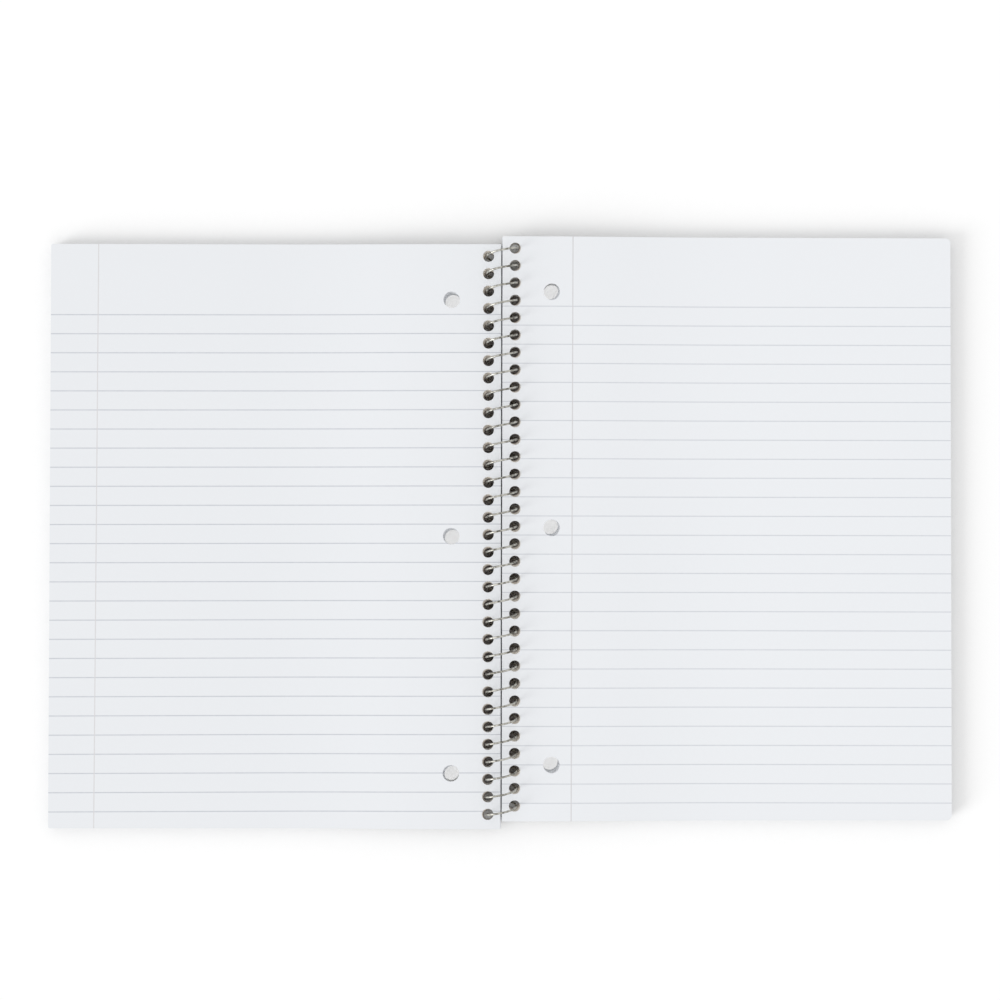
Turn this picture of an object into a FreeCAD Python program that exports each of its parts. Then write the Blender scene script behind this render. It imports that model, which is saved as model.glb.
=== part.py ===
"""Open spiral notebook: two halves of ruled sheets with card covers, hinged on a wire coil.

Millimetres. The notebook lies open on a table at Z = 0 with the coil along Y. Its left half lies
towards -X, its right half towards +X and the tops of the pages towards +Y. The origin is on the
table, under the middle of the coil.
"""
import FreeCAD, Part
import math
import os

import Sketcher

ORIGIN = -1
START = 1
END = 2
CENTRE = 3
PARTS_FOLDER = "parts"

doc = FreeCAD.newDocument("notebook")

# Sizes that are set by themselves
sheet = doc.addObject("Spreadsheet::Sheet", "sizes")
DRIVING_SIZES = (
    ("page_width", 205.8, "a sheet from its spine edge to its outer edge"),
    ("page_height", 266.7, "a sheet from its top edge to its bottom edge"),
    ("page_stack", 4.5, "thickness of the sheets in one half"),
    ("cover_sheet", 0.5, "thickness of a card cover"),
    ("corner_right", 2.2, "radius of the outer corners of the right half"),
    ("corner_left", 0.8, "radius of the outer corners of the left half"),
    ("gutter_gap", 0.8, "gap between the spine edges of the two halves"),
    ("curve_length", 101.0, "width over which a half comes down from the coil to the table"),
    ("level_land", 0.3, "level paper between the coil holes and the curve"),
    ("wire_diameter", 0.9, "wire of the coil"),
    ("coil_pitch", 7.95, "distance from turn to turn"),
    ("coil_outward", 0.9, "how far the wire passes outside the centres of its holes"),
    ("wire_lead", 0.1375, "how far the wire lies off the centres of its holes, along the coil"),
    ("wire_clearance", 0.13, "clearance of the wire in a hole where it comes closest"),
    ("axis_play", 0.15, "height of the coil's axis over the top sheet at the spine"),
    ("hole_inset", 5.7, "centre of a coil hole from the spine edge of its sheet"),
    ("hole_margin", 5.5, "centre of the first coil hole from the top edge"),
    ("tip_bend", 1.5, "radius of the bend at each end of the wire"),
    ("tip_length", 2.6, "straight end of the wire past that bend"),
    ("punch_diameter", 7.5, "the three binder holes of a sheet or cover"),
    ("punch_inset", 22.5, "centre of a binder hole from the spine edge of its sheet"),
    ("punch_margin", 25.4, "centre of the outer binder holes from the top and bottom edges"),
)
# Sizes that follow from the ones above
DERIVED_SIZES = (
    ("stagger", "=coil_pitch / 2 - 2 * wire_lead",
     "how far the right half lies above the left one"),
    ("wire_slide", "=coil_pitch / 4 - wire_lead",
     "furthest that the wire slides off a hole's centre when the halves close"),
    ("hole_diameter",
     "=2 * sqrt(wire_slide ^ 2 + coil_outward ^ 2) + wire_diameter + 2 * wire_clearance",
     "coil holes, wide enough for the wire in each position"),
    ("hole_count", "=floor((page_height - 2 * hole_margin) / coil_pitch) + 1",
     "coil holes along a spine edge"),
    ("coil_radius", "=gutter_gap / 2 + hole_inset + coil_outward",
     "from the coil's axis to the middle of the wire"),
    ("axis_height", "=coil_radius + wire_diameter / 2",
     "the coil's axis, so that its turns touch the table"),
    ("spine_lift", "=axis_height - axis_play - page_stack - cover_sheet",
     "height of the covers over the table at the spine"),
    ("level_length", "=hole_inset + hole_diameter / 2 + level_land",
     "level strip of a half beside the spine"),
    ("first_hole", "=page_height / 2 - hole_margin",
     "first coil hole from the middle of the sheet"),
    ("punch_reach", "=page_height / 2 - punch_margin",
     "outer binder holes from the middle one"),
)
row = 0
for alias, value, note in DRIVING_SIZES + DERIVED_SIZES:
    row += 1
    sheet.set(f"A{row}", alias)
    sheet.set(f"B{row}", str(value))
    sheet.set(f"C{row}", note)
    sheet.setAlias(f"B{row}", alias)
doc.recompute()


def size(alias):
    """The value of one size in the sheet."""
    return float(sheet.get(alias))


def vector(x, y, z=0.0):
    return FreeCAD.Vector(x, y, z)


def add_sketch(body, name, role):
    """An empty sketch on one of the body's own origin planes."""
    sketch = body.newObject("Sketcher::SketchObject", name)
    plane = next(item for item in body.Origin.OriginFeatures if item.Role == role)
    sketch.AttachmentSupport = [(plane, "")]
    sketch.MapMode = "FlatFace"
    return sketch


def bind(sketch, name, expression, *constraint):
    """Adds a named size to a sketch and ties it to the sheet."""
    index = sketch.addConstraint(Sketcher.Constraint(*constraint))
    sketch.renameConstraint(index, name)
    sketch.setExpression(f"Constraints.{name}", expression)


def arc(centre, radius, first_angle, last_angle):
    """An arc that runs counterclockwise, with its angles in radians."""
    circle = Part.Circle(centre, vector(0, 0, 1), radius)
    return Part.ArcOfCircle(circle, first_angle, last_angle)


def add_sheet_profile(body, name, base, thickness):
    """The section of a half across its spine, with its outer part flat at the height base.

    It is level at the coil and comes down to the table in two equal tangent arcs. Its top side
    is its underside, lifted by the thickness.
    """
    sketch = add_sketch(body, name, "XZ_Plane")
    lift = size("spine_lift")
    reach = size("curve_length")
    bend_radius = (reach ** 2 + lift ** 2) / (4 * lift)
    bend_angle = math.asin(reach / 2 / bend_radius)
    spine_x = size("gutter_gap") / 2
    level_x = spine_x + size("level_length")
    flat_x = level_x + reach
    outer_x = spine_x + size("page_width")
    base_z = size(base) if base else 0.0

    sides = []
    for side_z in (base_z, base_z + size(thickness)):
        level = Part.LineSegment(vector(spine_x, side_z + lift), vector(level_x, side_z + lift))
        crest = arc(vector(level_x, side_z + lift - bend_radius), bend_radius,
                    math.pi / 2 - bend_angle, math.pi / 2)
        trough = arc(vector(flat_x, side_z + bend_radius), bend_radius,
                     3 * math.pi / 2 - bend_angle, 3 * math.pi / 2)
        flat = Part.LineSegment(vector(flat_x, side_z), vector(outer_x, side_z))
        level_id, crest_id, trough_id, flat_id = sketch.addGeometry([level, crest, trough, flat], False)
        sketch.addConstraint([
            Sketcher.Constraint("Horizontal", level_id),
            Sketcher.Constraint("Horizontal", flat_id),
            Sketcher.Constraint("Tangent", level_id, END, crest_id, END),
            Sketcher.Constraint("Tangent", crest_id, START, trough_id, START),
            Sketcher.Constraint("Tangent", trough_id, END, flat_id, START),
            Sketcher.Constraint("Equal", crest_id, trough_id),
        ])
        sides.append((level_id, flat_id))

    (under_level, under_flat), (upper_level, upper_flat) = sides
    top_z = base_z + size(thickness)
    spine_edge = Part.LineSegment(vector(spine_x, base_z + lift), vector(spine_x, top_z + lift))
    outer_edge = Part.LineSegment(vector(outer_x, base_z), vector(outer_x, top_z))
    spine_id, outer_id = sketch.addGeometry([spine_edge, outer_edge], False)
    sketch.addConstraint([
        Sketcher.Constraint("Vertical", spine_id),
        Sketcher.Constraint("Vertical", outer_id),
        Sketcher.Constraint("Coincident", spine_id, START, under_level, START),
        Sketcher.Constraint("Coincident", spine_id, END, upper_level, START),
        Sketcher.Constraint("Coincident", outer_id, START, under_flat, END),
        Sketcher.Constraint("Coincident", outer_id, END, upper_flat, END),
        Sketcher.Constraint("Vertical", under_level, END, upper_level, END),
        Sketcher.Constraint("Vertical", under_flat, START, upper_flat, START),
    ])
    base_term = f"sizes.{base} + " if base else ""
    bind(sketch, "spine_side", "sizes.gutter_gap / 2",
         "DistanceX", ORIGIN, START, under_level, START, spine_x)
    bind(sketch, "level_width", "sizes.level_length",
         "DistanceX", under_level, START, under_level, END, size("level_length"))
    bind(sketch, "curve_width", "sizes.curve_length",
         "DistanceX", under_level, END, under_flat, START, reach)
    bind(sketch, "whole_width", "sizes.page_width",
         "DistanceX", under_level, START, under_flat, END, size("page_width"))
    bind(sketch, "spine_height", f"{base_term}sizes.spine_lift",
         "DistanceY", ORIGIN, START, under_level, START, base_z + lift)
    bind(sketch, "drop", "sizes.spine_lift",
         "DistanceY", under_flat, START, under_level, END, lift)
    bind(sketch, "spine_thickness", f"sizes.{thickness}",
         "DistanceY", spine_id, START, spine_id, END, size(thickness))
    bind(sketch, "outer_thickness", f"sizes.{thickness}",
         "DistanceY", outer_id, START, outer_id, END, size(thickness))
    return sketch


def add_round_hole(sketch, name, x_size, y_size, y_sign, diameter):
    """A circle beside the spine, at a distance from the sheet's middle to either side."""
    x = size("gutter_gap") / 2 + size(x_size)
    y = size(y_size) if y_size else 0.0
    circle = Part.Circle(vector(x, y_sign * y), vector(0, 0, 1), size(diameter) / 2)
    circle_id = sketch.addGeometry(circle, False)
    bind(sketch, f"{name}_across", f"sizes.gutter_gap / 2 + sizes.{x_size}",
         "DistanceX", ORIGIN, START, circle_id, CENTRE, x)
    if not y_size:
        sketch.addConstraint(Sketcher.Constraint("Horizontal", ORIGIN, START, circle_id, CENTRE))
    elif y_sign > 0:
        bind(sketch, f"{name}_along", f"sizes.{y_size}",
             "DistanceY", ORIGIN, START, circle_id, CENTRE, y)
    else:
        bind(sketch, f"{name}_along", f"sizes.{y_size}",
             "DistanceY", circle_id, CENTRE, ORIGIN, START, y)
    bind(sketch, f"{name}_diameter", f"sizes.{diameter}", "Diameter", circle_id, size(diameter))


def cut_through(body, sketch, name):
    """Cuts a sketch on the table plane up through the whole body."""
    pocket = body.newObject("PartDesign::Pocket", name)
    pocket.Profile = sketch
    pocket.Type = "ThroughAll"
    pocket.Reversed = True
    doc.recompute()
    return pocket


def add_half_piece(name, side, base, thickness):
    """The pages or the cover of one half, drawn to the right of the coil.

    The left half is the same half turned round, so its tops lie towards its own -Y. A side of 1
    is the right half and -1 the left one.
    """
    body = doc.addObject("PartDesign::Body", name)
    profile = add_sheet_profile(body, f"{name}_profile", base, thickness)
    pad = body.newObject("PartDesign::Pad", f"{name}_pad")
    pad.Profile = profile
    pad.SideType = "Symmetric"
    pad.setExpression("Length", "sizes.page_height")
    doc.recompute()

    outer_x = size("gutter_gap") / 2 + size("page_width")
    corners = []
    for number, edge in enumerate(pad.Shape.Edges, start=1):
        upright = all(abs(vertex.X - outer_x) < 1e-6 for vertex in edge.Vertexes)
        if upright and abs(edge.BoundBox.ZLength - size(thickness)) < 1e-6:
            corners.append(f"Edge{number}")
    rounding = body.newObject("PartDesign::Fillet", f"{name}_corners")
    rounding.Base = (pad, corners)
    rounding.setExpression("Radius", "sizes.corner_right" if side > 0 else "sizes.corner_left")
    doc.recompute()

    punch = add_sketch(body, f"{name}_binder_holes", "XY_Plane")
    for hole, y_size, y_sign in (("upper", "punch_reach", 1), ("middle", "", 1),
                                 ("lower", "punch_reach", -1)):
        add_round_hole(punch, hole, "punch_inset", y_size, y_sign, "punch_diameter")
    cut_through(body, punch, f"{name}_binder_cut")

    first = add_sketch(body, f"{name}_coil_hole", "XY_Plane")
    add_round_hole(first, "first", "hole_inset", "first_hole", side, "hole_diameter")
    cut = cut_through(body, first, f"{name}_coil_cut")
    holes = body.newObject("PartDesign::LinearPattern", f"{name}_coil_holes")
    holes.Originals = [cut]
    holes.Direction = (first, ["V_Axis"])
    holes.Reversed = side > 0
    holes.Mode = "Spacing"
    holes.setExpression("Offset", "sizes.coil_pitch")
    holes.setExpression("Occurrences", "sizes.hole_count")
    body.Tip = holes

    turn = 0 if side > 0 else 180
    body.Placement = FreeCAD.Placement(vector(0, 0), FreeCAD.Rotation(vector(0, 0, 1), turn))
    body.setExpression("Placement.Base.y", f"{side} * sizes.stagger / 2")
    return body


def tangent_arc(first, corner, last):
    """The arc from first to last that is tangent to the two equal legs meeting in the corner."""
    weight = (last - first).Length / (2 * (corner - first).Length)
    middle = (first + corner * (2 * weight) + last) * (1 / (2 + 2 * weight))
    return Part.Arc(first, middle, last).toShape()


def helix_point(angle):
    """A point on the middle of the wire, with the coil's axis along Y through the origin."""
    radius = size("coil_radius")
    climb = -size("coil_pitch") * angle / (2 * math.pi)
    return vector(radius * math.cos(angle), climb, radius * math.sin(angle))


def helix_direction(angle):
    """The direction of the wire at the same point."""
    radius = size("coil_radius")
    climb = -size("coil_pitch") / (2 * math.pi)
    return vector(-radius * math.sin(angle), climb, radius * math.cos(angle)).normalize()


def helix_arcs(first_angle, last_angle):
    """Two arcs that meet in one tangent and follow the helix between two of its points."""
    first, last = helix_point(first_angle), helix_point(last_angle)
    leaving, arriving = helix_direction(first_angle), helix_direction(last_angle)
    chord = last - first
    both = leaving + arriving
    along = chord.dot(both)
    short = 4 - both.dot(both)
    leg = (math.sqrt(along ** 2 + chord.dot(chord) * short) - along) / short
    first_corner = first + leaving * leg
    last_corner = last - arriving * leg
    joint = (first_corner + last_corner) * 0.5
    return [tangent_arc(first, first_corner, joint), tangent_arc(joint, last_corner, last)]


def tip_corners(end, outward, back):
    """The corner, the end of the bend and the tip of the wire, from the coil outwards."""
    leg = size("tip_bend") * math.tan(outward.getAngle(back) / 2)
    corner = end + outward * leg
    bend_end = corner + back * leg
    return corner, bend_end, bend_end + back * size("tip_length")


def sweep_wire(route, section):
    """Carries the round section along the lines and tangent arcs of the route, as one solid."""
    faces = [Part.Face(Part.Wire(section))]
    for edge in route:
        if isinstance(edge.Curve, Part.Circle):
            degrees = math.degrees(edge.LastParameter - edge.FirstParameter)
            faces.append(section.revolve(edge.Curve.Center, edge.Curve.Axis, degrees))
            section = section.rotated(edge.Curve.Center, edge.Curve.Axis, degrees)
        else:
            step = edge.Vertexes[-1].Point - edge.Vertexes[0].Point
            faces.append(section.extrude(step))
            section = section.translated(step)
    faces.append(Part.Face(Part.Wire(section)))
    shell = Part.makeShell([face for shape in faces for face in shape.Faces])
    shell.sewShape()
    solid = Part.makeSolid(shell)
    if solid.Volume < 0:
        solid.reverse()
    return solid


def add_coil():
    """The wire: a helix through the holes of both halves, with its ends bent back under the covers.

    It starts and ends at the lowest point of a turn, and each half turn is two tangent arcs.
    """
    first_angle = -math.pi / 2
    half_turns = round(2 * size("hole_count"))
    last_angle = first_angle + half_turns * math.pi
    up = vector(0, 1, 0)

    start = helix_point(first_angle)
    corner, bend_end, tip = tip_corners(start, -helix_direction(first_angle), -up)
    route = [Part.LineSegment(tip, bend_end).toShape(), tangent_arc(bend_end, corner, start)]
    for number in range(half_turns):
        route += helix_arcs(first_angle + number * math.pi, first_angle + (number + 1) * math.pi)
    finish = helix_point(last_angle)
    corner, bend_end, far_tip = tip_corners(finish, helix_direction(last_angle), up)
    route += [tangent_arc(finish, corner, bend_end), Part.LineSegment(bend_end, far_tip).toShape()]

    coil = doc.addObject("Part::Feature", "wire_coil")
    coil.Shape = sweep_wire(route, Part.Circle(tip, up, size("wire_diameter") / 2).toShape())
    start_y = size("stagger") / 2 + size("first_hole") + size("wire_lead")
    coil.Placement = FreeCAD.Placement(vector(0, start_y, size("axis_height")), FreeCAD.Rotation())
    length = sum(edge.Length for edge in route)
    section_area = math.pi * size("wire_diameter") ** 2 / 4
    print(f"wire: {length:.1f} mm long, its section times its length {length * section_area:.1f} mm3")
    return coil


nodes = [
    add_half_piece("front_cover", -1, "", "cover_sheet"),
    add_half_piece("left_pages", -1, "cover_sheet", "page_stack"),
    add_half_piece("back_cover", 1, "", "cover_sheet"),
    add_half_piece("right_pages", 1, "cover_sheet", "page_stack"),
    add_coil(),
]
doc.recompute()

for item in doc.Objects:
    if "Invalid" in item.State or "Error" in item.State:
        raise RuntimeError(f"{item.Name} did not build: {item.State}")
for node in nodes:
    if node.Shape.isNull() or not node.Shape.isValid() or len(node.Shape.Solids) != 1:
        raise RuntimeError(f"{node.Label} is not one valid solid")

os.makedirs(PARTS_FOLDER, exist_ok=True)
for node in nodes:
    node.Shape.exportStep(os.path.join(PARTS_FOLDER, f"{node.Label}.step"))
    box = node.Shape.BoundBox
    print(f"{node.Label}: {node.Shape.Volume:.1f} mm3, X {box.XMin:.2f} to {box.XMax:.2f},"
          f" Y {box.YMin:.2f} to {box.YMax:.2f}, Z {box.ZMin:.3f} to {box.ZMax:.3f}")
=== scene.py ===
import math
import random

import bpy
from mathutils import Matrix, Vector


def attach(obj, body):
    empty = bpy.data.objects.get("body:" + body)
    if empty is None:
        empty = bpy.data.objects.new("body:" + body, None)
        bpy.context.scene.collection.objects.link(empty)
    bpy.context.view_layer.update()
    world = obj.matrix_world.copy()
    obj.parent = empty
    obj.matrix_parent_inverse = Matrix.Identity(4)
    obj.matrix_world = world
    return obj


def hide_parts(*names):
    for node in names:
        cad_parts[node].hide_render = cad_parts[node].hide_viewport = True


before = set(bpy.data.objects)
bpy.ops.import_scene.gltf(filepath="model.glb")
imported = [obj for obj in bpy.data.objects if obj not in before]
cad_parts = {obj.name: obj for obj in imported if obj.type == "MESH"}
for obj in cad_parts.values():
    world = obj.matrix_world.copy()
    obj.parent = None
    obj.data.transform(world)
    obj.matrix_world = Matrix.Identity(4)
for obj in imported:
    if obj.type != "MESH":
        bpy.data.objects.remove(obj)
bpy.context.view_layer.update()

MM = 0.001
SIDES = {"left": -1, "right": 1}
BODIES = {"left": "front_half", "right": "back_half"}

# Sheets and covers
SPINE_X = 0.4 * MM
OUTER_X = 206.2 * MM
PAGE_HEIGHT = 266.7 * MM
HALF_SHIFT = 1.85 * MM
COVER = 0.5 * MM
STACK = 4.5 * MM
CORNER_RADIUS = {1: 2.2 * MM, -1: 0.8 * MM}
CORNER_STEPS = 5
CREASE_ANGLE = math.radians(30)

# The rise of each half towards the spine: level beside it, then an S-curve down
SPINE_LIFT = 2.3 * MM
LEVEL_END = 9.037 * MM
CURVE_END = 110.037 * MM
CURVE_STEPS = 20

# The top sheet, and the bundles under it. Each is a little off the others, by millimetres and
# degrees drawn from the last three ranges.
TOP_SHEET = 0.1 * MM
TOP_SHEET_PAPER = 0.09 * MM
BUNDLE_COUNT = 14
BUNDLE_GAP = 0.03 * MM
SPINE_CREEP = 0.25 * MM
LOOSE_INWARD = (0.0, 0.08)
LOOSE_ALONG = (0.04, 0.22)
LOOSE_TURN = (-0.01, 0.01)

# The coil and its holes
AXIS_HEIGHT = 7.45 * MM
COIL_RADIUS = 7.0 * MM
COIL_PITCH = 7.95 * MM
HOLE_COUNT = 33
HOLE_X = 6.1 * MM
HOLE_RADIUS = 2.56 * MM
HOLE_SIDES = 36
HOLE_MARGIN = 5.5 * MM
FAN_INWARD, FAN_ALONG = 0.5, 1.15

# The binder holes
PUNCH_X = 22.9 * MM
PUNCH_RADIUS = 3.75 * MM
PUNCH_SIDES = 44
PUNCH_REACH = 107.95 * MM

# The bars that cut the holes
BAR_LENGTH = 30 * MM
BAR_MIDDLE = 5 * MM

# Paper, in millimetres
LINE_COUNT = 27
LINE_HALF_WIDTH, LINE_BLUR = 0.27, 0.08
SHEET_STEP = 0.085
PAPER_TONES = ((0.778, 0.796, 0.826), (0.850, 0.866, 0.888))
EDGE_SHADE = (0.42, 0.42, 0.41, 1)
HOLES_INNER, HOLES_OUTER, HOLES_END = 1.2, 9.2, 132.8
# Painted shade inside the coil holes: the level below which it darkens, over what depth, and its pale
# and dark colours
HOLE_SHADE_LEVEL, HOLE_SHADE_FADE = 1.9, 1.0
HOLE_SHADE_PALE, HOLE_SHADE_DARK = (0.86, 0.815, 0.75, 1), (0.38, 0.315, 0.29, 1)

# The floor, and the shade and glow painted on it where the notebook shuts it in
FLOOR_SIZE = 40
FLOOR_DROP = 0.05 * MM
FLOOR_WHITE, FLOOR_GREY = (1.01, 1.01, 1.01, 1), (0.80, 0.80, 0.80, 1)
SHADE_REACH, SHADE_SAMPLES = 40 * MM, 6
SHADE_DEPTH, SHADE_MOST = 0.34, 0.3
# Painted light: how strongly the shut-in floor glows white for the camera, away from the coil
GLOW, GLOW_START, GLOW_FADE = 0.66, 0.34, 0.10
# Painted shade on the floor below the coil: dark brown where it is shut in
COIL_SHADE_START, COIL_SHADE_FADE = 0.18, 0.05
COIL_SHADE_BROWN = (0.26, 0.215, 0.195, 1)
BLACK, WHITE = (0, 0, 0, 1), (1, 1, 1, 1)

# The strip of floor below the coil, in millimetres from the middle
COIL_SIDE, COIL_END, COIL_END_FADE = 11.0, 126.0, 18.0

# Light and camera
SUN_DIRECTION = (0.845, 0.425, -0.326)
SUN_SPREAD = math.radians(30)
SUN_SHARE = 0.17
SKY_SHARE = 0.84
LENS = 56.83
EYE_PLACE = (-6.7 * MM, 4.45 * MM, 727.3 * MM)
EYE_TURN = (math.radians(0.804), math.radians(-0.478), math.radians(0.086))
EYE_RANGE = (0.05, 60)

# Sockets of the colour mix node
MIX_SHARE, MIX_FIRST, MIX_SECOND, MIX_RESULT = 0, 6, 7, 2


class Value:
    """A number in a material or in the world. Sums written with it add Math nodes."""

    def __init__(self, nodes, output):
        self.nodes = nodes
        self.output = output

    def math(self, operation, *others):
        return self.nodes.value("ShaderNodeMath", {"operation": operation},
                                dict(enumerate((self, *others))))

    def reflected(self, operation, other):
        return self.nodes.value("ShaderNodeMath", {"operation": operation}, {0: other, 1: self})

    def __add__(self, other):
        return self.math("ADD", other)

    def __radd__(self, other):
        return self.reflected("ADD", other)

    def __sub__(self, other):
        return self.math("SUBTRACT", other)

    def __rsub__(self, other):
        return self.reflected("SUBTRACT", other)

    def __mul__(self, other):
        return self.math("MULTIPLY", other)

    def __rmul__(self, other):
        return self.reflected("MULTIPLY", other)

    def __truediv__(self, other):
        return self.math("DIVIDE", other)

    def __rtruediv__(self, other):
        return self.reflected("DIVIDE", other)

    def __abs__(self):
        return self.math("ABSOLUTE")

    def __lt__(self, other):
        return self.math("LESS_THAN", other)

    def __gt__(self, other):
        return self.math("GREATER_THAN", other)

    def smaller(self, other):
        return self.math("MINIMUM", other)

    def larger(self, other):
        return self.math("MAXIMUM", other)

    def inside(self):
        """Kept between 0 and 1."""
        return self.larger(0.0).smaller(1.0)

    def rounded(self):
        return self.math("ROUND")

    def sine(self):
        return self.math("SINE")


class Nodes:
    """The nodes of a material or of the world."""

    def __init__(self, tree):
        self.tree = tree
        self.tree.nodes.clear()

    def node(self, kind, settings, sockets):
        """Any node, by its type, its settings and the values or links of its sockets."""
        made = self.tree.nodes.new(kind)
        for name, setting in settings.items():
            setattr(made, name, setting)
        for name, given in sockets.items():
            self.connect(given, made.inputs[name])
        return made

    def connect(self, given, socket):
        """Links a value or an output to a socket, or sets a number or colour there."""
        given = getattr(given, "output", given)
        if isinstance(given, bpy.types.NodeSocket):
            self.tree.links.new(given, socket)
        else:
            socket.default_value = given

    def value(self, kind, settings, sockets, output=0):
        return Value(self, self.node(kind, settings, sockets).outputs[output])


class Finish(Nodes):
    """A material with one Principled shader, and the nodes that feed it."""

    def __init__(self, name, constants):
        self.material = bpy.data.materials.new(name)
        self.material.use_nodes = True
        super().__init__(self.material.node_tree)
        self.shader = self.node("ShaderNodeBsdfPrincipled", {}, constants)
        self.node("ShaderNodeOutputMaterial", {}, {"Surface": self.shader.outputs["BSDF"]})

    def feed(self, socket, given):
        self.connect(given, self.shader.inputs[socket])

    def place(self):
        """The place on the piece, in millimetres."""
        coordinates = self.node("ShaderNodeTexCoord", {}, {}).outputs["Object"]
        scaled = self.node("ShaderNodeVectorMath", {"operation": "SCALE"},
                           {"Vector": coordinates, "Scale": 1 / MM})
        return scaled.outputs["Vector"]

    def parts(self, vector):
        """The three numbers of a vector."""
        split = self.node("ShaderNodeSeparateXYZ", {}, {"Vector": vector})
        return [Value(self, split.outputs[axis]) for axis in "XYZ"]

    def upward(self):
        """1 on faces that look up, -1 on faces that look down."""
        normal = self.node("ShaderNodeNewGeometry", {}, {}).outputs["Normal"]
        return self.parts(normal)[2]

    def noise(self, place, scale, detail=2.0, roughness=0.5):
        """Soft noise about 0, as wide as 1 over the scale in millimetres."""
        settings = {"Vector": place, "Scale": scale, "Detail": detail, "Roughness": roughness}
        return self.value("ShaderNodeTexNoise", {}, settings) - 0.5

    def blend(self, share, first, second):
        """A colour between two others."""
        mix = self.node("ShaderNodeMix", {"data_type": "RGBA"},
                        {MIX_SHARE: share, MIX_FIRST: first, MIX_SECOND: second})
        return mix.outputs[MIX_RESULT]

    def bump(self, height, strength, distance):
        settings = {"Height": height, "Strength": strength, "Distance": distance}
        self.feed("Normal", self.node("ShaderNodeBump", {}, settings).outputs["Normal"])


def sheet_height(across):
    """Height of a half's curve over its flat part, in millimetres, for a place across it."""
    run = ((abs(across) - LEVEL_END / MM) / ((CURVE_END - LEVEL_END) / MM)).inside()
    near = 1.0 - 2.0 * run * run
    far = 2.0 * (1.0 - run) * (1.0 - run)
    outer = run > 0.5
    return (near * (1.0 - outer) + far * outer) * (SPINE_LIFT / MM)


def stroke(distance):
    """1 on a printed line and 0 beside it, by the distance from its middle."""
    return ((LINE_HALF_WIDTH - distance) / LINE_BLUR).inside()


def ruled_paper(name, side, painted_brightness, first_line, spacing, slope, slope_change, line_ink,
                margin_x, margin_slope, margin_ink):
    """White writing paper with ruled lines and a margin line on its upper side. The slopes are what
    a line rises for each millimetre across, and what the margin moves for each millimetre up."""
    finish = Finish(name, {"Roughness": 0.62})
    place = finish.place()
    x, y, z = finish.parts(place)
    up = finish.upward()
    on_top = up > 0.5
    on_edge = abs(up) < 0.5

    # Tone: nearly even, with the faint cloudiness of paper, times a painted brightness that is higher
    # on the right half, which the sun leaves darker
    clouds = finish.noise(place, 0.012, 3.0) * 0.10 + finish.noise(place, 0.6, 3.0) * 0.05
    dim, bright = [(*(painted_brightness * part for part in tone), 1) for tone in PAPER_TONES]
    paper = finish.blend((clouds + 0.5).inside(), dim, bright)

    # Ruling, on the upper side only
    line = (first_line - y + x * (slope + y * slope_change)) / spacing
    number = line.rounded()
    ruled = (number > -0.5) * (number < LINE_COUNT - 0.5)
    density = finish.noise(place, 0.35) * 0.5 + 0.95
    on_line = stroke(abs(line - number) * spacing) * ruled * on_top * density
    paper = finish.blend(on_line, paper, line_ink)
    on_margin = stroke(abs(x - margin_x - y * margin_slope)) * on_top * density
    paper = finish.blend(on_margin, paper, margin_ink)

    # Edges: the sheets of a bundle one by one
    level = z - sheet_height(x)
    sheets = (level / SHEET_STEP * math.tau + finish.noise(place, 0.5) * 2.0).sine() * 0.5 + 0.5
    shade = on_edge * (sheets * 0.30 + finish.noise(place, 0.25, 3.0) * 0.25).inside()
    paper = finish.blend(shade, paper, EDGE_SHADE)

    # Inside the coil holes the sheets carry painted shade: pale brownish near the top, dark deep down
    below_top = level < (COVER + STACK - TOP_SHEET - BUNDLE_GAP) / MM
    beside_spine = (abs(x) > HOLES_INNER) * (abs(x) < HOLES_OUTER)
    between_ends = abs(y - side * HALF_SHIFT / MM) < HOLES_END
    depth = ((HOLE_SHADE_LEVEL - level) / HOLE_SHADE_FADE).inside()
    hole_shade = finish.blend(depth, HOLE_SHADE_PALE, HOLE_SHADE_DARK)
    finish.feed("Base Color", finish.blend(below_top * beside_spine * between_ends, paper, hole_shade))

    fibre = finish.noise(place, 3.0, 4.0, 0.6) * 0.5 + finish.noise(place, 0.25)
    finish.bump(fibre + on_edge * sheets * 0.8, 0.10, 0.05 * MM)
    return finish.material


def cover_card(name):
    """Pale card: smooth and slightly glossy outside, matte and fibrous inside."""
    finish = Finish(name, {"Specular IOR Level": 0.4})
    place = finish.place()
    up = finish.upward()
    outside = up < -0.5
    on_edge = abs(up) < 0.5
    fibres = finish.noise(place, 1.4, 5.0, 0.7) * 0.9 + finish.noise(place, 0.02) * 0.2
    flecks = (fibres + 0.5).inside()
    inner = finish.blend(flecks, (0.78, 0.78, 0.76, 1), (0.90, 0.90, 0.89, 1))
    outer = finish.blend(flecks, (0.845, 0.845, 0.835, 1), (0.875, 0.875, 0.865, 1))
    card = finish.blend(outside, inner, outer)
    finish.feed("Base Color", finish.blend(on_edge * 0.7, card, (0.62, 0.60, 0.55, 1)))
    finish.feed("Roughness", 0.78 - outside * 0.38 + finish.noise(place, 0.08, 3.0) * 0.10)
    finish.bump(finish.noise(place, 2.2, 4.0, 0.6), 0.15, 0.04 * MM)
    return finish.material


def drawn_wire():
    """Bright drawn steel wire, slightly warm, with dark flecks at random that are painted dark
    reflections.
    """
    finish = Finish("drawn_wire", {"Metallic": 1.0})
    place = finish.place()
    # Painted reflections: dark flecks at random stand in for the dark reflections along the wire, and
    # are less rough
    reflection_flecks = (finish.noise(place, 0.6, 3.0, 0.6) * 4.0 + 0.62).inside()
    finish.feed("Base Color", finish.blend(reflection_flecks, (0.13, 0.12, 0.10, 1), (0.56, 0.55, 0.50, 1)))
    finish.feed("Roughness", 0.24 + reflection_flecks * 0.16)
    finish.bump(finish.noise(place, 6.0, 3.0), 0.08, 0.03 * MM)
    return finish.material


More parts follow.
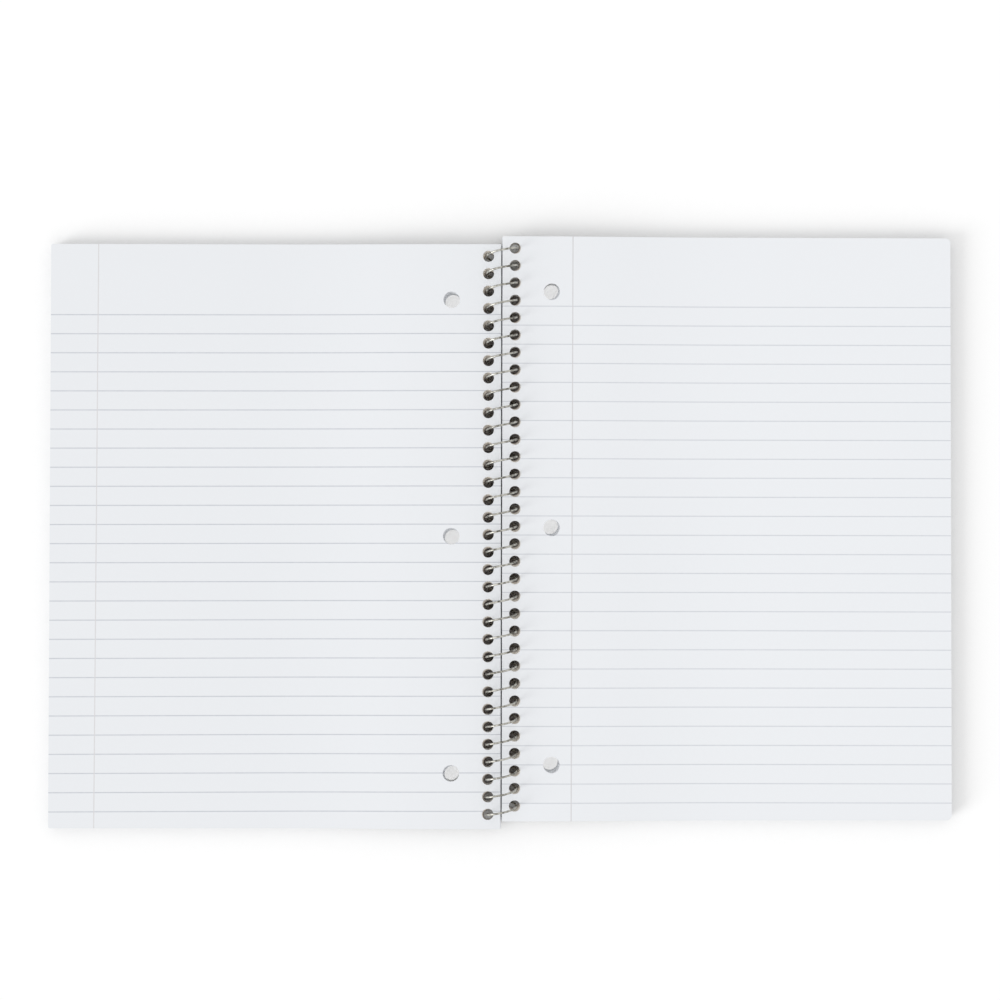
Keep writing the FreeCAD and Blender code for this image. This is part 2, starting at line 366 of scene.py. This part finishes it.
def white_floor():
    """White where it is seen and pale grey as a reflector. For the camera, shade is painted on it:
    the more a point is shut in, the darker it is painted beside the notebook;
    below the binder holes it glows pale as painted light, and below the coil it is painted dark brown
    as shade."""
    constants = {"Roughness": 1.0, "Specular IOR Level": 0.0, "Emission Strength": 1.0}
    finish = Finish("white_floor", constants)
    x, y, _ = finish.parts(finish.place())
    seen = finish.value("ShaderNodeLightPath", {}, {}, "Is Camera Ray")
    openness = finish.value("ShaderNodeAmbientOcclusion", {"samples": SHADE_SAMPLES},
                            {"Distance": SHADE_REACH}, "AO")
    below_coil = abs(x) < COIL_SIDE

    plain = finish.blend(seen, FLOOR_GREY, FLOOR_WHITE)
    shade = seen * (1.0 - openness).smaller(SHADE_MOST) * SHADE_DEPTH
    plain = finish.blend(shade, plain, BLACK)
    clear_of_ends = ((COIL_END - abs(y)) / COIL_END_FADE).inside()
    # Painted shade: the shut-in floor below the coil, away from its ends, is painted dark brown
    coil_shade = below_coil * clear_of_ends * ((COIL_SHADE_START - openness) / COIL_SHADE_FADE).inside()
    finish.feed("Base Color", finish.blend(coil_shade, plain, COIL_SHADE_BROWN))

    # Painted light: the shut-in floor glows white for the camera, away from the coil, so the binder
    # holes look pale
    shut_in = ((GLOW_START - openness) / GLOW_FADE).inside()
    glow = seen * (1.0 - below_coil) * shut_in * GLOW
    finish.feed("Emission Color", finish.blend(glow, BLACK, WHITE))
    return finish.material


def only(piece):
    """Makes the piece the only selected and the active object."""
    bpy.ops.object.select_all(action="DESELECT")
    piece.select_set(True)
    bpy.context.view_layer.objects.active = piece


def select_points(piece, wanted):
    """In edit mode, selects just the points whose place is wanted."""
    bpy.ops.object.mode_set(mode="OBJECT")
    for face in piece.data.polygons:
        face.select = False
    for edge in piece.data.edges:
        edge.select = False
    for point in piece.data.vertices:
        point.select = wanted(point.co)
    bpy.ops.object.mode_set(mode="EDIT")


def apply_modifier(piece, name, kind, **settings):
    only(piece)
    modifier = piece.modifiers.new(name, kind)
    for key, setting in settings.items():
        setattr(modifier, key, setting)
    bpy.ops.object.modifier_apply(modifier=name)


def paint(piece, material):
    piece.data.materials.clear()
    piece.data.materials.append(material)


def copy_of(piece, name, move):
    made = piece.copy()
    made.data = piece.data.copy()
    made.name = name
    bpy.context.scene.collection.objects.link(made)
    made.data.transform(move)
    return made


def join(pieces, name):
    only(pieces[0])
    for piece in pieces[1:]:
        piece.select_set(True)
    bpy.ops.object.join()
    pieces[0].name = name
    pieces[0].data.name = name
    return pieces[0]


def curve_points():
    """Distances across a half, with the height there, from the level strip to the outer edge."""
    radius = ((CURVE_END - LEVEL_END) ** 2 + SPINE_LIFT ** 2) / (4 * SPINE_LIFT)
    points = []
    for step in range(1, CURVE_STEPS + 1):
        x = LEVEL_END + (CURVE_END - LEVEL_END) * step / CURVE_STEPS
        if step * 2 <= CURVE_STEPS:
            height = SPINE_LIFT - radius + math.sqrt(radius ** 2 - (x - LEVEL_END) ** 2)
        else:
            height = radius - math.sqrt(radius ** 2 - (CURVE_END - x) ** 2)
        points.append((x, height))
    return points + [(OUTER_X, 0.0)]


def round_bar(x, y, radius, sides):
    """An upright round bar through a whole stack."""
    bpy.ops.object.select_all(action="DESELECT")
    bpy.ops.mesh.primitive_cylinder_add(vertices=sides, radius=radius, depth=BAR_LENGTH,
                                        location=(x, y, BAR_MIDDLE))
    bpy.ops.object.transform_apply()
    return bpy.context.object


def hole_cutter(side):
    """Round bars through all coil holes and binder holes of a half, as one piece."""
    first_y = side * HALF_SHIFT + PAGE_HEIGHT / 2 - HOLE_MARGIN
    row = round_bar(side * HOLE_X, first_y, HOLE_RADIUS, HOLE_SIDES)
    apply_modifier(row, "row", "ARRAY", count=HOLE_COUNT, use_relative_offset=False,
                   use_constant_offset=True, constant_offset_displace=(0, -COIL_PITCH, 0))
    punches = [round_bar(side * PUNCH_X, side * HALF_SHIFT + y, PUNCH_RADIUS, PUNCH_SIDES)
               for y in (PUNCH_REACH, 0, -PUNCH_REACH)]
    return join([row, *punches], "hole_bars")


def curved_sheet(name, side, thickness):
    """A sheet of one half at table height, extruded outwards from its level strip."""
    bpy.ops.object.select_all(action="DESELECT")
    width = LEVEL_END - SPINE_X
    middle = side * (SPINE_X + width / 2)
    bpy.ops.mesh.primitive_plane_add(size=1, location=(middle, side * HALF_SHIFT, SPINE_LIFT))
    sheet = bpy.context.object
    sheet.name = name
    sheet.scale = (width, PAGE_HEIGHT, 1)
    bpy.ops.object.transform_apply()
    bpy.ops.object.mode_set(mode="EDIT")
    bpy.ops.mesh.select_mode(type="VERT")
    select_points(sheet, lambda place: side * place.x > LEVEL_END - width / 2)
    x, height = LEVEL_END, SPINE_LIFT
    for next_x, next_height in curve_points():
        step = (side * (next_x - x), 0, next_height - height)
        bpy.ops.mesh.extrude_region_move(TRANSFORM_OT_translate={"value": step})
        x, height = next_x, next_height
    bpy.ops.mesh.bevel(offset=CORNER_RADIUS[side], segments=CORNER_STEPS, affect="VERTICES")
    bpy.ops.mesh.select_all(action="SELECT")
    bpy.ops.mesh.normals_make_consistent(inside=False)
    bpy.ops.object.mode_set(mode="OBJECT")
    if sum(face.normal.z * face.area for face in sheet.data.polygons) < 0:
        sheet.data.flip_normals()
    apply_modifier(sheet, "paper", "SOLIDIFY", thickness=thickness, offset=1.0)
    return sheet


def punch(sheet, side, bars):
    """Punches a sheet where the wire passes it: the deeper it lies, the further its holes follow
    the round of the coil, towards the spine and along it."""
    level = sheet.data.vertices[0].co.z
    turn = math.asin((AXIS_HEIGHT - level) / COIL_RADIUS)
    inward = -side * FAN_INWARD * COIL_RADIUS * (1 - math.cos(turn))
    along = side * FAN_ALONG * COIL_PITCH * turn / math.tau
    cutter = copy_of(bars, "bars", Matrix.Translation((inward, along, 0)))
    apply_modifier(sheet, "punch", "BOOLEAN", operation="DIFFERENCE", solver="EXACT", object=cutter)
    bpy.data.objects.remove(cutter)
    bpy.ops.object.shade_smooth_by_angle(angle=CREASE_ANGLE)


def stack_of_sheets(half):
    """The bundles of one half, each a little off the others, and its loose top sheet."""
    side = SIDES[half]
    dice = random.Random(half)
    bars = hole_cutter(side)
    step = (STACK - TOP_SHEET) / BUNDLE_COUNT
    bundle = curved_sheet(f"{half}_bundle", side, step - BUNDLE_GAP)
    bundles = []
    for number in range(BUNDLE_COUNT):
        depth = 1 - number / (BUNDLE_COUNT - 1)
        inward = -side * (SPINE_CREEP * depth + dice.uniform(*LOOSE_INWARD) * MM)
        along = -side * dice.uniform(*LOOSE_ALONG) * MM
        move = Matrix.Translation((inward, along, COVER + number * step))
        turn = Matrix.Rotation(math.radians(dice.uniform(*LOOSE_TURN)), 4, "Z")
        bundles.append(copy_of(bundle, f"{half}_bundle_{number}", move @ turn))
        punch(bundles[-1], side, bars)
    bpy.data.objects.remove(bundle)
    sheets = join(bundles, f"{half}_sheets")
    top = curved_sheet(f"{half}_top_sheet", side, TOP_SHEET_PAPER)
    top.data.transform(Matrix.Translation((0, 0, COVER + STACK - TOP_SHEET)))
    punch(top, side, bars)
    bpy.data.objects.remove(bars)
    return sheets, top


# The sheets of both halves stand for the solid stacks
papers = {
    "left": ruled_paper(
        "ruled_paper_left", SIDES["left"], painted_brightness=1.0, first_line=99.36, spacing=8.707,
        slope=0.00255, slope_change=-0.0000098, line_ink=(0.560, 0.580, 0.625, 1),
        margin_x=-185.0, margin_slope=0.0036, margin_ink=(0.680, 0.670, 0.680, 1)),
    # The right half's paper is painted 2.5% brighter as painted light, where the sun leaves that half
    # darker
    "right": ruled_paper(
        "ruled_paper_right", SIDES["right"], painted_brightness=1.025, first_line=103.2, spacing=8.716,
        slope=-0.0004, slope_change=0.00001, line_ink=(0.635, 0.655, 0.695, 1),
        margin_x=32.2, margin_slope=0.0025, margin_ink=(0.640, 0.630, 0.645, 1)),
}
for half, paper in papers.items():
    for piece in stack_of_sheets(half):
        paint(piece, paper)
        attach(piece, BODIES[half])
        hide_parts(f"{half}_pages")

# The covers and the coil keep their solids
paint(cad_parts["front_cover"], cover_card("front_card"))
paint(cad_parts["back_cover"], cover_card("back_card"))
paint(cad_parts["wire_coil"], drawn_wire())

# Floor
bpy.ops.object.select_all(action="DESELECT")
bpy.ops.mesh.primitive_plane_add(size=FLOOR_SIZE, location=(0, 0, -FLOOR_DROP))
floor = bpy.context.object
floor.name = "floor"
paint(floor, white_floor())

# A broad low sun, which gives about a sixth of the floor's light
sun = bpy.data.lights.new("key_light", "SUN")
sun.angle = SUN_SPREAD
sun.energy = SUN_SHARE * math.pi / -SUN_DIRECTION[2]
holder = bpy.data.objects.new("key_light", sun)
holder.rotation_euler = Vector(SUN_DIRECTION).to_track_quat("-Z", "Y").to_euler()
bpy.context.scene.collection.objects.link(holder)

# An even sky, white where it is seen or mirrored
world = bpy.data.worlds.new("studio")
world.use_nodes = True
sky = Nodes(world.node_tree)
path = sky.node("ShaderNodeLightPath", {}, {})
shown = Value(sky, path.outputs["Is Camera Ray"]).larger(path.outputs["Is Glossy Ray"])
background = sky.node("ShaderNodeBackground", {},
                      {"Color": WHITE, "Strength": shown * (1 - SKY_SHARE) + SKY_SHARE})
sky.node("ShaderNodeOutputWorld", {}, {"Surface": background.outputs["Background"]})
bpy.context.scene.world = world

# The camera looks down, almost upright
bpy.context.scene.view_settings.view_transform = "Standard"
camera = bpy.data.cameras.new("camera")
camera.lens = LENS
camera.clip_start, camera.clip_end = EYE_RANGE
eye = bpy.data.objects.new("camera", camera)
eye.location = EYE_PLACE
eye.rotation_euler = EYE_TURN
bpy.context.scene.collection.objects.link(eye)
bpy.context.scene.camera = eye
